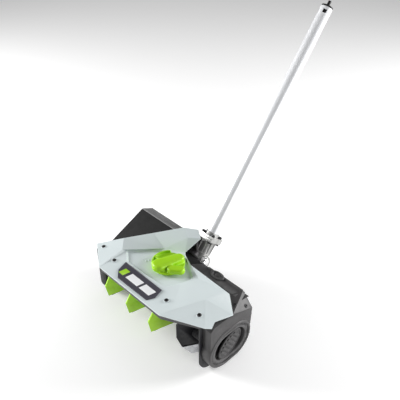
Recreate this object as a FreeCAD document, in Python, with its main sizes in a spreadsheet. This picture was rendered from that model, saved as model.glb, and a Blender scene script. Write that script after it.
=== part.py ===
import FreeCAD, Part
import math
import os
import re

import Sketcher

# Snow shovel head on a pole.
# Frame: origin on the ground, at the middle of the scraper's lower edge.
# +Z is up, +X is towards the round side cover and +Y is back towards the pole.

os.makedirs("parts", exist_ok=True)
doc = FreeCAD.newDocument("snow_shovel")
Vector = FreeCAD.Vector

# ---------------------------------------------------------------- driving sizes (mm and degrees)

SIZES = {
    # body of the shovel
    "half_width": 161, "plate": 3, "wall": 3, "case_depth": 20, "side_depth": 21.7, "facet_drop": 22,
    "deck_low": 133.5, "deck": 3, "skirt": 9.5, "cover": 3.5, "front": -159,
    "hood_back": 30.5, "hood_top": 180, "roof_start": -80.5, "roof_low": 124,
    "roof_high": 159, "peak_y": 5.5, "peak_z": 165,
    # auger
    "auger_y": -89.5, "auger_z": 61, "hub_radius": 14, "journal": 6,
    "paddle_tilt": 25, "paddle": 4, "strip": 2.5, "tip": 1.5, "mouth": 35, "skid_back": 14,
    # scraper
    "scraper": 5, "scraper_height": 32,
    # drive
    "gear_y": 28.2, "gear_z": 98, "lean": 38.4, "cross_radius": 5, "drive_radius": 4,
    "module": 1.25, "pinion_teeth": 15, "gear_teeth": 20, "face": 5,
    "auger_pulley": 26, "drive_pulley": 12, "pulley_width": 12, "belt": 3, "belt_width": 10,
    "bearing_radius": 11, "bearing_width": 7, "neck_radius": 15, "cross_case": 18,
    # pole
    "pole_radius": 12.9, "pole_wall": 1.5, "pole_start": 45, "pole_length": 552,
    "coupling": 60, "groove": 0.4, "hole": 8, "hole_drop": 14, "hole_turn": 208,
    "flange_at": 50, "flange": 6, "flange_half": 19, "bolt_x": 14, "bolt_y": 13.5,
    # direction control
    "knob_y": -57.5, "knob_radius": 34, "knob_height": 19, "spindle": 4, "crank": 22,
    "vane_x": 60, "vane_low": 124, "vane_deep": 115.5, "vane_thick": 6, "link": 2.5,
    "vane_front": 94, "vane_length": 28,
    # clearances
    "running": 0.03, "gap": 0.3, "loose": 0.5,
}

sheet = doc.addObject("Spreadsheet::Sheet", "Sizes")
for row, (name, value) in enumerate(SIZES.items(), start=1):
    sheet.set(f"A{row}", name)
    sheet.set(f"B{row}", str(value))
    sheet.setAlias(f"B{row}", name)
doc.recompute()

WORDS = re.compile(r"\b(" + "|".join(sorted(SIZES, key=len, reverse=True)) + r")\b")

# Places used by several pieces, worked out from the driving sizes.
CHAMBER_LEFT = "(-half_width + case_depth + plate)"
CHAMBER_RIGHT = "(half_width - plate)"
CHAMBER = f"({CHAMBER_RIGHT} - {CHAMBER_LEFT})"
DECK_TOP = "(deck_low + deck)"
COVER_TOP = "(deck_low + deck + cover)"
WALL_BACK = "(-scraper / 2)"
WALL_FRONT = "(-scraper / 2 - wall)"
VANE_TOP = "(vane_low + vane_thick)"
LINK_LOW = f"({VANE_TOP} + loose)"
PULLEY_X = "(-half_width + 5)"


def bound(expression):
    """The expression with each size's name pointing at its cell in the sheet."""
    return WORDS.sub(r"Sizes.\1", str(expression))


def size(expression):
    """The value that an expression has now."""
    return float(sheet.evalExpression(bound(expression)))


def bind(thing, **sizes):
    for name, expression in sizes.items():
        thing.setExpression(name, bound(expression))
    return thing


# ---------------------------------------------------------------- placing

TURN = {
    "Z": FreeCAD.Rotation(),
    "X": FreeCAD.Rotation(Vector(0, 1, 0), 90),
    "Y": FreeCAD.Rotation(Vector(1, 0, 0), -90),
}


def place(thing, at=(0, 0, 0), along="Z"):
    """Puts a thing's own Z axis along a row axis, from the point given."""
    thing.Placement = FreeCAD.Placement(Vector(), TURN[along])
    for letter, expression in zip("xyz", at):
        thing.setExpression(f"Placement.Base.{letter}", bound(expression))
    return thing


def turn(thing, axis, angle, at=(0, 0, 0)):
    """Turns a thing about an axis by a bound angle, then moves it to the point given."""
    thing.Placement = FreeCAD.Placement(Vector(), FreeCAD.Rotation(Vector(*axis), 1))
    thing.setExpression("Placement.Rotation.Angle", bound(angle))
    for letter, expression in zip("xyz", at):
        thing.setExpression(f"Placement.Base.{letter}", bound(expression))
    return thing


def on_pole(thing, start, x=0, y=0):
    """Leans a thing with the pole: start is the distance up the pole's axis from the bevel gears."""
    at = (
        x,
        f"gear_y + ({y}) * cos(lean) + ({start}) * sin(lean)",
        f"gear_z - ({y}) * sin(lean) + ({start}) * cos(lean)",
    )
    return turn(thing, (-1, 0, 0), "lean", at)


# ---------------------------------------------------------------- solids

def box(name, sides, at):
    solid = doc.addObject("Part::Box", name)
    bind(solid, Length=sides[0], Width=sides[1], Height=sides[2])
    return place(solid, at)


def cylinder(name, radius, length, at=(0, 0, 0), along="Z"):
    solid = doc.addObject("Part::Cylinder", name)
    bind(solid, Radius=radius, Height=length)
    return place(solid, at, along)


def cone(name, low, high, length, at=(0, 0, 0), along="Z"):
    solid = doc.addObject("Part::Cone", name)
    bind(solid, Radius1=low, Radius2=high, Height=length)
    return place(solid, at, along)


def fuse(name, *solids):
    whole = doc.addObject("Part::MultiFuse", name)
    whole.Shapes = list(solids)
    return whole


def common(name, *solids):
    shared = doc.addObject("Part::MultiCommon", name)
    shared.Shapes = list(solids)
    return shared


def cut(name, base, *tools):
    rest = doc.addObject("Part::Cut", name)
    rest.Base = base
    rest.Tool = tools[0] if len(tools) == 1 else fuse(name + "_tools", *tools)
    return rest


def ring(name, outer, inner, length, at=(0, 0, 0), along="Z"):
    tube = cylinder(name + "_outer", outer, length)
    hole = cylinder(name + "_inner", inner, f"({length}) + 2", (0, 0, -1))
    return place(cut(name, tube, hole), at, along)


def prism(name, plane, outline, start, length, rounds=()):
    """A sketched outline, padded. Each round is a corner's place and its radius."""
    body = doc.addObject("PartDesign::Body", name)
    base = next(f for f in body.Origin.OriginFeatures if f.Role == plane + "_Plane")
    sketch = body.newObject("Sketcher::SketchObject", name + "_sketch")
    sketch.AttachmentSupport = [(base, "")]
    sketch.MapMode = "FlatFace"
    sketch.setExpression("AttachmentOffset.Base.z", bound(start))
    corners = [(size(u), size(v)) for u, v in outline]
    for here, there in zip(corners, corners[1:] + corners[:1]):
        sketch.addGeometry(Part.LineSegment(Vector(*here, 0), Vector(*there, 0)), False)
    count = len(corners)
    for index in range(count):
        sketch.addConstraint(Sketcher.Constraint("Coincident", index, 2, (index + 1) % count, 1))
    for index, (corner, words) in enumerate(zip(corners, outline)):
        for kind, value, expression in zip(("DistanceX", "DistanceY"), corner, words):
            number = sketch.addConstraint(Sketcher.Constraint(kind, index, 1, value))
            sketch.setExpression(f"Constraints[{number}]", bound(expression))
    pad = body.newObject("PartDesign::Pad", name + "_pad")
    pad.Profile = sketch
    bind(pad, Length=length)
    sketch.Visibility = False
    last = pad
    for number, (u, v, radius) in enumerate(rounds):
        doc.recompute()
        last = round_corner(body, f"{name}_round_{number}", last, plane, (size(u), size(v)), radius)
    return body


def round_corner(body, name, feature, plane, corner, radius):
    """Rounds the one edge of a pad that runs along the pad through the corner given."""
    chosen = None
    for number, edge in enumerate(feature.Shape.Edges, start=1):
        middle = edge.CenterOfMass
        here = {"XY": (middle.x, middle.y), "YZ": (middle.y, middle.z)}[plane]
        if math.dist(here, corner) < 0.01:
            chosen = f"Edge{number}"
    fillet = body.newObject("PartDesign::Fillet", name)
    fillet.Base = (feature, [chosen])
    bind(fillet, Radius=radius)
    return fillet


def slot_block(name, radius, low_y, high_y, centre_z, start, length):
    """A block with round ends, its flat faces square to X."""
    ends = [
        cylinder(f"{name}_end_{number}", radius, length, (start, y, centre_z), "X")
        for number, y in enumerate((low_y, high_y))
    ]
    middle = box(
        name + "_middle",
        (length, f"({high_y}) - ({low_y})", f"2 * ({radius})"),
        (start, low_y, f"({centre_z}) - ({radius})"),
    )
    return fuse(name, *ends, middle)


def shaped(name, shape, at=(0, 0, 0), rotation=None):
    """A solid made with the kernel's own functions from the sheet's values."""
    feature = doc.addObject("Part::Feature", name)
    feature.Shape = shape
    base = Vector(*(size(value) for value in at))
    feature.Placement = FreeCAD.Placement(base, rotation or FreeCAD.Rotation())
    return feature


nodes = []


def node(name, solid):
    """Names a finished piece, which is what its file is called."""
    solid.Label = name
    nodes.append(solid)
    return solid


# ---------------------------------------------------------------- outlines

FRONT_EDGE = "auger_y - mouth"


def skid_outline(top):
    """An end plate's front, foot and heel, closed by the points given."""
    return [
        (FRONT_EDGE, "0"),
        ("skid_back", "0"),
        ("skid_back", "18"),
        *top,
    ]


SKID_ROUNDS = [(FRONT_EDGE, "0", "32"), ("skid_back", "0", "8")]

HOOD_BACK = "gear_y + drive_pulley + 6.8"
LEFT_TOP = [
    (HOOD_BACK, "gear_z - 14"),
    (HOOD_BACK, "gear_z + 29"),
    (f"{HOOD_BACK} - 11.5", "gear_z + 53"),
    ("peak_y", "peak_z"),
    ("peak_y - 14", "roof_high"),
    ("roof_start", "roof_low"),
    (FRONT_EDGE, "roof_low"),
]
RIGHT_TOP = [
    (f"{WALL_BACK}", "60"),
    (f"{WALL_BACK}", "deck_low - skirt"),
    (FRONT_EDGE, "deck_low - skirt"),
]

# The deck's outline lies a little inside the pale cover's.
DECK_OUTLINE = [
    ("-half_width + 5.5", "front + 37.5"),
    ("-half_width + 67.5", "front"),
    ("half_width - 70", "front"),
    ("half_width - 0.2", "front + 36"),
    ("half_width - 0.2", WALL_BACK),
    ("12", WALL_BACK),
    ("10", "hood_back - 12.5"),
    ("-3", "hood_back - 4.5"),
    ("-27.5", "hood_back - 19.3"),
]
SKIRT_INSIDE = [
    ("-half_width + 11", "front + 38"),
    ("-half_width + 68.5", "front + 3"),
    ("half_width - 70.8", "front + 3"),
    ("half_width - 4", "front + 38"),
    ("half_width - 4", WALL_FRONT),
    ("9", WALL_FRONT),
    ("7", "hood_back - 14.2"),
    ("-3", "hood_back - 8.2"),
    ("-25", "hood_back - 22"),
]


# ---------------------------------------------------------------- pale cover and its raised hood

def hood_solid(drop=0, aside=0):
    """The raised hood as a closed solid, moved down and to the left by the amounts given."""
    half = size("half_width")
    base = size(DECK_TOP)
    top = size(COVER_TOP)
    peak = size("hood_top")
    back = size("hood_back")
    front = size("front")
    upper = [
        (1 - half, front + 36.5, top),
        (-101, front + 61.5, top),
        (-42, back - 62, top),
        (0, back - 42, top),
        (13, back - 9, peak - 10),
        (-3, back, peak),
        (-30, back - 17, peak),
    ]
    move = Vector(-aside, aside, -drop)
    high = [Vector(*corner) + move for corner in upper]
    low = [Vector(x, y, base) + move for x, y, _ in upper]
    faces = [low]
    for index in range(7):
        after = (index + 1) % 7
        faces.append([low[index], low[after], high[after]])
        faces.append([low[index], high[after], high[index]])
    for index in range(5):
        faces.append([high[6], high[index], high[index + 1]])
    skins = [Part.Face(Part.makePolygon(face + face[:1])) for face in faces]
    return Part.Solid(Part.Shell(skins))


def top_cover():
    flat = prism("cover_flat", "XY", [
        ("1 - half_width", "front + 36.5"),
        ("-half_width + 66", "front - 4.5"),
        ("half_width - 69", "front - 4"),
        ("half_width + 13", "front + 34.5"),
        ("half_width + 22", "front + 43.5"),
        ("half_width + 14", "front + 58.5"),
        ("half_width + 26", "front + 95.5"),
        ("half_width - 15", "hood_back - 61"),
        ("20", "hood_back - 58"),
        ("0", "hood_back - 42"),
        ("-42", "hood_back - 62"),
        ("-101", "front + 61.5"),
    ], DECK_TOP, "cover")
    shell = cut("hood_shell", shaped("hood_outside", hood_solid()),
                shaped("hood_inside", hood_solid(size("cover") * 1.2, 2.2)))
    spindle_hole = cylinder("cover_spindle_hole", "spindle * 2", "20", ("0", "knob_y", "deck_low"))
    holes = [cylinder(f"cover_hole_{i}", "2.2", "20", (x, y, "deck_low"))
             for i, (x, y) in enumerate(COVER_SCREWS)]
    return cut("cover_body", fuse("cover_blank", flat, shell), spindle_hole, *holes)


COVER_SCREWS = [
    ("-half_width + 22", "front + 39.5"),
    ("-half_width + 75", "front + 28"),
    ("half_width - 85", "front + 29"),
    ("half_width - 14", "front + 47"),
]


# ---------------------------------------------------------------- dark housing

def housing():
    deck = prism("deck_plate", "XY", DECK_OUTLINE, "deck_low", "deck")
    skirt = cut("deck_skirt",
                prism("skirt_outside", "XY", DECK_OUTLINE, "deck_low - skirt", "skirt"),
                prism("skirt_inside", "XY", SKIRT_INSIDE, "deck_low - skirt - 1", "skirt + 1"))
    collar = common(
        "hood_collar",
        cut("collar_ring",
            prism("collar_outside", "XY", DECK_OUTLINE[-5:] + DECK_OUTLINE[:1], DECK_TOP, "50"),
            prism("collar_inside", "XY", SKIRT_INSIDE[-5:] + SKIRT_INSIDE[:1], DECK_TOP, "50")),
        shaped("collar_limit", hood_solid(size("cover") * 1.2 + 1, 2.2)))
    rear_wall = box("rear_wall", (CHAMBER, "wall", "deck_low - 14"), (CHAMBER_LEFT, WALL_FRONT, "14"))
    roof = prism("roof_block", "YZ", [
        ("roof_start - 18.5", "roof_low - wall"),
        ("roof_start - 18.5", "roof_low"),
        ("roof_start", "roof_low"),
        ("peak_y - 14", "roof_high"),
        ("peak_y", "peak_z"),
        (f"{HOOD_BACK} - 11.5", "gear_z + 53"),
        (HOOD_BACK, "gear_z + 29"),
        (HOOD_BACK, "gear_z - 14"),
        (WALL_BACK, "gear_z - 37"),
        (WALL_FRONT, "gear_z - 37"),
        (WALL_FRONT, "roof_high - 1.3"),
        ("roof_start - 0.7", "roof_low - wall"),
    ], CHAMBER_LEFT, "-28 - " + CHAMBER_LEFT)
    room = prism("roof_room", "YZ", [
        (WALL_BACK, "gear_z - 33"),
        (f"{HOOD_BACK} - wall", "gear_z - 12"),
        (f"{HOOD_BACK} - wall", "gear_z + 28"),
        (f"{HOOD_BACK} - 13.8", "gear_z + 51"),
        ("peak_y", "peak_z - 3.4"),
        (WALL_BACK, "peak_z - 7"),
    ], CHAMBER_LEFT + " - 1", "-31 + 1 - " + CHAMBER_LEFT)
    beyond_crest = prism("beyond_crest", "XY", [
        ("-half_width + 8", "front + 37.5"),
        ("-25", "hood_back - 20"),
        ("-25", "front"),
        ("-half_width + 8", "front"),
    ], "roof_low - wall - 1", "60")
    shaft_hole = cylinder("housing_shaft_hole", "8", "12", ("-35", "gear_y", "gear_z"), "X")
    under_cover = cut("cover_skin_room", shaped("skin_outside", hood_solid()),
                      shaped("skin_inside", hood_solid(size("cover") * 1.2 + 0.8, 2.6)))
    hood = cut("rear_hood", roof, room, beyond_crest, shaft_hole, under_cover)
    holes = [
        cylinder("deck_spindle_hole", "spindle * 2", "20", ("0", "knob_y", "deck_low - 5")),
        *[cylinder(f"deck_hole_{i}", "2.2", "20", (x, y, "deck_low - 5"))
          for i, (x, y) in enumerate(COVER_SCREWS)],
        *[cylinder(f"vane_pin_hole_{i}", "3", "20", (x, "knob_y", "deck_low - 5"))
          for i, x in enumerate(("-vane_x", "vane_x"))],
        *[cylinder(f"mount_hole_{i}", "2.7", "wall + 2", (x, f"{WALL_FRONT} - 1", z), "Y")
          for i, (x, z) in enumerate(MOUNT_BOLTS)],
        *[cylinder(f"scraper_wall_hole_{i}", "2.7", "wall + 2", (x, f"{WALL_FRONT} - 1", "24"), "Y")
          for i, x in enumerate(SCRAPER_BOLTS)],
    ]
    return cut("housing_body", fuse("housing_blank", deck, skirt, collar, rear_wall, hood), *holes)


SCRAPER_BOLTS = [f"{CHAMBER_LEFT} + {CHAMBER} * {share}" for share in (0.07, 0.285, 0.5, 0.715, 0.93)]
MOUNT_BOLTS = [(x, z) for x in ("-20", "20") for z in ("gear_z - 16", "gear_z + 16")]


def left_end_plate():
    plate = prism("left_plate", "YZ", skid_outline(LEFT_TOP), "-half_width + case_depth", "plate",
                  SKID_ROUNDS)
    seats = []
    holes = []
    for name, y, z in (("auger", "auger_y", "auger_z"), ("cross", "gear_y", "gear_z")):
        seats.append(cylinder(f"left_{name}_seat", "bearing_radius + 3", "bearing_width + 2",
                              (f"{CHAMBER_LEFT} - plate", y, z), "X"))
        holes.append(cylinder(f"left_{name}_bore", "bearing_radius", "bearing_width + 1",
                              (f"{CHAMBER_LEFT} - plate - 1", y, z), "X"))
        holes.append(cylinder(f"left_{name}_way", "bearing_radius - 2", "30",
                              (f"{CHAMBER_LEFT} - 10", y, z), "X"))
    return cut("left_plate_body", fuse("left_plate_blank", plate, *seats), *holes)


def right_end_plate():
    plate = prism("right_plate", "YZ", skid_outline(RIGHT_TOP), "half_width - plate", "plate",
                  SKID_ROUNDS)
    bore = cylinder("right_plate_bore", "bearing_radius", "plate + 2",
                    ("half_width - plate - 1", "auger_y", "auger_z"), "X")
    holes = [cylinder(f"carrier_hole_{i}", "2.2", "plate + 2",
                      ("half_width - plate - 1", y, z), "X")
             for i, (y, z) in enumerate(CARRIER_BOLTS)]
    return cut("right_plate_body", plate, bore, *holes)


CARRIER_BOLTS = [(f"auger_y + 18 * cos({a})", f"auger_z + 18 * sin({a})") for a in (30, 150, 270)]


def left_belt_cover():
    """A tray that closes the belt's room, open towards the end plate."""
    body = prism("belt_tray", "YZ", skid_outline(LEFT_TOP), "-half_width", "case_depth", SKID_ROUNDS)
    doc.recompute()
    open_x = size("-half_width + case_depth")
    feature = body.Tip
    inner = max(
        (face for face in enumerate(feature.Shape.Faces, start=1)
         if abs(face[1].CenterOfMass.x - open_x) < 0.01),
        key=lambda face: face[1].Area)
    tray = body.newObject("PartDesign::Thickness", "belt_tray_wall")
    tray.Base = (feature, [f"Face{inner[0]}"])
    tray.Join = 1
    tray.Reversed = True
    bind(tray, Value="wall - 0.5")
    raise_skirt = box("tray_ground_gap", ("case_depth + 2", "300", "10"),
                      ("-half_width - 1", FRONT_EDGE + " - 10", "-8"))
    return cut("belt_cover_body", body, raise_skirt)


SIDE_CENTRES = ("auger_y + 15", "auger_y + 37", "55")


def side_cover():
    start = "half_width + gap"
    disc = slot_block("side_disc", "47", *SIDE_CENTRES, start, "side_depth")
    shoulder = prism("side_shoulder", "YZ", [
        ("auger_y - 28", "70"),
        ("auger_y - 28", "deck_low - 8"),
        ("auger_y - 20", "deck_low - 0.5"),
        (WALL_BACK, "deck_low - 0.5"),
        (f"{WALL_BACK} - 4", "70"),
    ], start, "side_depth")
    hollow = slot_block("side_hollow", "44.5", *SIDE_CENTRES, "half_width - 1", "11.3")
    shoulder_hollow = prism("shoulder_hollow", "YZ", [
        ("auger_y - 25.5", "72"),
        ("auger_y - 25.5", "deck_low - 9.5"),
        ("auger_y - 18.8", "deck_low - 3"),
        (f"{WALL_BACK} - 2.6", "deck_low - 3"),
        (f"{WALL_BACK} - 8", "72"),
    ], "half_width - 1", "side_depth - 1.5")
    keep = slot_block("side_keep", "47", *SIDE_CENTRES, "half_width + 10.3", "side_depth")
    upper = cut("shoulder_room", shoulder_hollow, keep, beyond_facet("facet_inside", "3.8"))
    recess = slot_block("side_recess", "35", *SIDE_CENTRES, f"{start} + side_depth - 9", "12")
    screw_holes = [
        cylinder("side_level_hole", "2.2", "10", (*LEVEL_SCREW, "deck_low - 6")),
        on_facet(screw_blank("side_facet_hole", "2.2", "1", "2.2", "8"), *FACET_SCREW, "0"),
    ]
    blank = cut("side_blank", fuse("side_outside", disc, shoulder), beyond_facet("facet", "0"))
    return cut("side_body", blank, hollow, upper, recess, *screw_holes)


FACET_FRONT = "(auger_y + 31)"
FACET_SLOPE_X = "(facet_drop / side_depth)"
FACET_SLOPE_Y = f"(facet_drop / ({WALL_BACK} - {FACET_FRONT}))"


def on_facet(thing, x, y, drop):
    """Tilts a thing to the shoulder's sloping facet, where the facet passes over x and y."""
    across = size(FACET_SLOPE_X)
    back = size(FACET_SLOPE_Y)
    lean = f"atan(sqrt({FACET_SLOPE_X} ^ 2 + {FACET_SLOPE_Y} ^ 2))"
    height = (f"deck_low - 0.5 - {FACET_SLOPE_X} * ({x} - half_width - gap - side_depth)"
              f" - {FACET_SLOPE_Y} * ({y} - {FACET_FRONT}) - {drop}")
    return turn(thing, (-back, across, 0), lean, (x, y, height))


def beyond_facet(name, drop):
    """The space outside the shoulder's facet, lowered by the drop given."""
    return on_facet(box(name, ("160", "160", "60"), ("-80", "-80", "0")),
                    "half_width + 12", FACET_FRONT, drop)


# One screw stands on the shoulder's level part, and the other on its facet.
LEVEL_SCREW = ("half_width + 8", "auger_y + 47")
FACET_SCREW = ("half_width + 16.5", "auger_y + 72")


# ---------------------------------------------------------------- scraper, badge and screws

def scraper():
    blade = prism("scraper_sheet", "YZ", [
        ("-scraper / 2", "1.5"),
        ("-scraper / 2 + 1.5", "0"),
        ("scraper / 2", "0"),
        ("scraper / 2", "scraper_height"),
        ("-scraper / 2", "scraper_height"),
    ], f"{CHAMBER_LEFT} + gap", f"{CHAMBER} - 2 * gap")
    holes = [cylinder(f"scraper_hole_{i}", "2.7", "scraper + 2", (x, "-scraper / 2 - 1", "24"), "Y")
             for i, x in enumerate(SCRAPER_BOLTS)]
    return cut("scraper_body", blade, *holes)


def badge():
    return prism("badge_body", "XY", [
        ("-64", "front + 41"), ("50", "front + 40"), ("55", "front + 18"),
        ("47", "front + 3"), ("-41", "front + 2"), ("-58", "front + 17"),
    ], COVER_TOP, "1.5")


def screw_blank(name, head_radius, head, stem_radius, stem):
    """A screw that stands on the origin, with its stem below."""
    parts = [cylinder(name + "_head", head_radius, head, (0, 0, 0)),
             cylinder(name + "_stem", stem_radius, stem, (0, 0, f"-({stem})"))]
    return fuse(name, *parts)


def screw(name, place_at, along, *sizes):
    """A screw whose head sits on the point given and whose stem runs back from it."""
    return place(screw_blank(name, *sizes), place_at, along)


def cover_screws():
    return fuse("cover_screw_set", *[
        screw(f"cover_screw_{i}", (x, y, COVER_TOP), "Z", "4", "1.6", "2.2", "cover + deck + 1")
        for i, (x, y) in enumerate(COVER_SCREWS)])


def side_screws():
    sizes = ("3.8", "1.4", "2.2", "5")
    level = screw("side_level_screw", (*LEVEL_SCREW, "deck_low - 0.5"), "Z", *sizes)
    return fuse("side_screw_set", level,
                on_facet(screw_blank("side_facet_screw", *sizes), *FACET_SCREW, "0"))


def scraper_bolts():
    return fuse("scraper_bolt_set", *[
        screw(f"scraper_bolt_{i}", (x, "scraper / 2", "24"), "Y", "5", "3", "2.7", "scraper + wall + 4")
        for i, x in enumerate(SCRAPER_BOLTS)])


def mount_bolts():
    return fuse("mount_bolt_set", *[
        screw(f"mount_bolt_{i}", (x, f"{WALL_BACK} + 6", z), "Y", "4.2", "4", "2.7", "6 + wall + 4")
        for i, (x, z) in enumerate(MOUNT_BOLTS)])


def carrier_bolts():
    return fuse("carrier_bolt_set", *[
        screw(f"carrier_bolt_{i}", ("half_width + 3", y, z), "X", "3.4", "2", "2.2", "3 + plate + 2")
        for i, (y, z) in enumerate(CARRIER_BOLTS)])


# ---------------------------------------------------------------- auger

STATIONS = [0.179, 0.4223, 0.6655]
BACK_STATIONS = [0.3007, 0.5439]
PADDLE_OUTLINE = [("4", "-17"), ("-57", "-29.5"), ("-62", "-1"), ("-51", "24"), ("-34", "42"),
                  ("-8", "50"), ("4", "16")]
STRIP_OUTLINE = [("-3", "-21"), ("-50", "-33.5"), ("-48", "-20"), ("-3", "-11")]
END_OUTLINE = [("6", "-10"), ("6", "-58"), ("-17", "-54.5"), ("-36", "-29"), ("-46", "-1"),
               ("-46", "35"), ("-28", "50"), ("6", "54"), ("6", "10")]
TIP_OUTLINE = [("6", "-58"), ("-17", "-54.5"), ("-36", "-29"), ("-2", "-31"), ("6", "-30")]


def station(share):
    return f"{CHAMBER_LEFT} + {CHAMBER} * {share}"


def blade(name, outline, start, thickness, share, flipped):
    """A flat plate that leans against the auger's axis, cut away where the hub passes."""
    plate = turn(prism(name + "_plate", "YZ", outline, start, thickness), (0, 0, -1), "paddle_tilt")
    hub = cylinder(name + "_hub", "hub_radius", "160", ("-80", "0", "0"), "X")
    whole = cut(name + "_body", plate, hub)
    turned = FreeCAD.Rotation(Vector(1, 0, 0), 180 if flipped else 0)
    whole.Placement = FreeCAD.Placement(Vector(), turned)
    for letter, expression in zip("xyz", (station(share), "auger_y", "auger_z")):
        whole.setExpression(f"Placement.Base.{letter}", bound(expression))
    return whole


def auger_shaft():
    """The steel axle from the belt pulley to the nut beyond the right bearing."""
    start = f"{PULLEY_X} - 1"
    return cylinder("auger_axle", "journal", f"half_width + 9.5 - ({start})",
                    (start, "auger_y", "auger_z"), "X")


def auger_hub():
    start = f"{CHAMBER_LEFT} + 9"
    return ring("auger_core", "hub_radius", "journal", f"{CHAMBER} - 12",
                (start, "auger_y", "auger_z"), "X")


def bearing(name, inner, at, along="X", outer="bearing_radius"):
    return ring(name, outer, inner, "bearing_width", at, along)


def bearing_carrier():
    flange = ring("carrier_flange", "22", "bearing_radius", "3",
                  ("half_width", "auger_y", "auger_z"), "X")
    collar = ring("carrier_collar", "bearing_radius + 3", "bearing_radius", "6.5",
                  ("half_width", "auger_y", "auger_z"), "X")
    holes = [cylinder(f"flange_hole_{i}", "2.2", "5", ("half_width - 1", y, z), "X")
             for i, (y, z) in enumerate(CARRIER_BOLTS)]
    return cut("carrier_body", fuse("carrier_blank", flange, collar), *holes)


# ---------------------------------------------------------------- belt drive

def pulley(name, radius, bore, y, z):
    """A ribbed-belt pulley with a low rim each side."""
    barrel = cylinder(name + "_barrel", radius, "pulley_width")
    rims = [cylinder(f"{name}_rim_{i}", f"({radius}) + 1.6", "0.8", (0, 0, start))
            for i, start in enumerate(("0", "pulley_width - 0.8"))]
    hole = cylinder(name + "_hole", bore, "pulley_width + 2", (0, 0, -1))
    return place(cut(name, fuse(name + "_blank", barrel, *rims), hole), (PULLEY_X, y, z), "X")


def belt_outline(extra):
    """A loop round both pulleys, as a face square to X."""
    big = Vector(0, size("auger_y"), size("auger_z"))
    small = Vector(0, size("gear_y"), size("gear_z"))
    large = size("auger_pulley + gap") + extra
    little = size("drive_pulley + gap") + extra
    span = small - big
    lean = math.atan2(span.z, span.y)
    spread = math.acos((large - little) / span.Length)
    corners = []
    ends = ((big, large, 1), (small, little, 1), (small, little, -1), (big, large, -1))
    for centre, radius, side in ends:
        angle = lean + side * spread
        corners.append(centre + Vector(0, math.cos(angle), math.sin(angle)) * radius)
    back = small + Vector(0, math.cos(lean), math.sin(lean)) * little
    front = big - Vector(0, math.cos(lean), math.sin(lean)) * large
    edges = [
        Part.makeLine(corners[0], corners[1]),
        Part.Arc(corners[1], back, corners[2]).toShape(),
        Part.makeLine(corners[2], corners[3]),
        Part.Arc(corners[3], front, corners[0]).toShape(),
    ]
    return Part.Face(Part.Wire(edges))


def drive_belt():
    width = Vector(size("belt_width"), 0, 0)
    loop = belt_outline(size("belt")).extrude(width).cut(belt_outline(0).extrude(width))
    return shaped("belt_loop", loop, (f"{PULLEY_X} + (pulley_width - belt_width) / 2", "0", "0"))


# ---------------------------------------------------------------- bevel gears

def bevel_wheel(teeth, other, bore, hub_radius, hub_end, offset):
    """A straight bevel wheel with the cones' common point at the origin and its back towards +Z."""
    module = size("module")
    pitch_angle = math.atan2(teeth, other)
    pitch_radius = module * teeth / 2
    cone = pitch_radius / math.sin(pitch_angle)
    inner_share = (cone - size("face")) / cone
    pitch = Vector(pitch_radius, 0, cone * math.cos(pitch_angle))
    outward = Vector(math.cos(pitch_angle), 0, -math.sin(pitch_angle))
    root = pitch - outward * (1.2 * module)
    tooth_half = 0.40 * math.pi * module / 2
    slope = math.tan(math.radians(20))

    def corner(height, side, share):
        point = pitch + outward * height
        half = tooth_half - height * slope
        return Vector(point.x, side * half, point.z) * share

    def tooth():
        wires = []
        for share in (1.0, inner_share):
            points = [corner(-1.5 * module, -1, share), corner(0.8 * module, -1, share),
                      corner(0.8 * module, 1, share), corner(-1.5 * module, 1, share)]
            wires.append(Part.makePolygon(points + points[:1]))
        return Part.makeLoft(wires, True, True)

    profile = [
        Vector(bore, 0, root.z * inner_share),
        root * inner_share,
        root,
        Vector(hub_radius, 0, root.z + 1),
        Vector(hub_radius, 0, hub_end),
        Vector(bore, 0, hub_end),
    ]
    wheel = Part.Face(Part.makePolygon(profile + profile[:1])).revolve(Vector(), Vector(0, 0, 1), 360)
    for index in range(int(teeth)):
        copy = tooth()
        copy.rotate(Vector(), Vector(0, 0, 1), (index + offset) * 360 / teeth)
        wheel = wheel.fuse(copy)
    return wheel.removeSplitter()


def pole_rotation():
    return FreeCAD.Rotation(Vector(-1, 0, 0), size("lean"))


def bevel_pinion():
    pinion, gear = size("pinion_teeth"), size("gear_teeth")
    shape = bevel_wheel(pinion, gear, size("drive_radius"), 6.5, 29, 0)
    # A tooth points towards -X, where the larger wheel is.
    turned = pole_rotation().multiply(FreeCAD.Rotation(Vector(0, 0, 1), 180))
    return shaped("pinion_wheel", shape, ("0", "gear_y", "gear_z"), turned)


def bevel_gear():
    pinion, gear = size("pinion_teeth"), size("gear_teeth")
    shape = bevel_wheel(gear, pinion, size("cross_radius"), 8, 17.4, 0.5)
    # Own +Z goes to -X, and own +X goes up the pole, where a gap between teeth lies.
    laid = pole_rotation().multiply(FreeCAD.Rotation(Vector(0, 1, 0), -90))
    return shaped("gear_wheel", shape, ("0", "gear_y", "gear_z"), laid)


# ---------------------------------------------------------------- gearbox and pole

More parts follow.
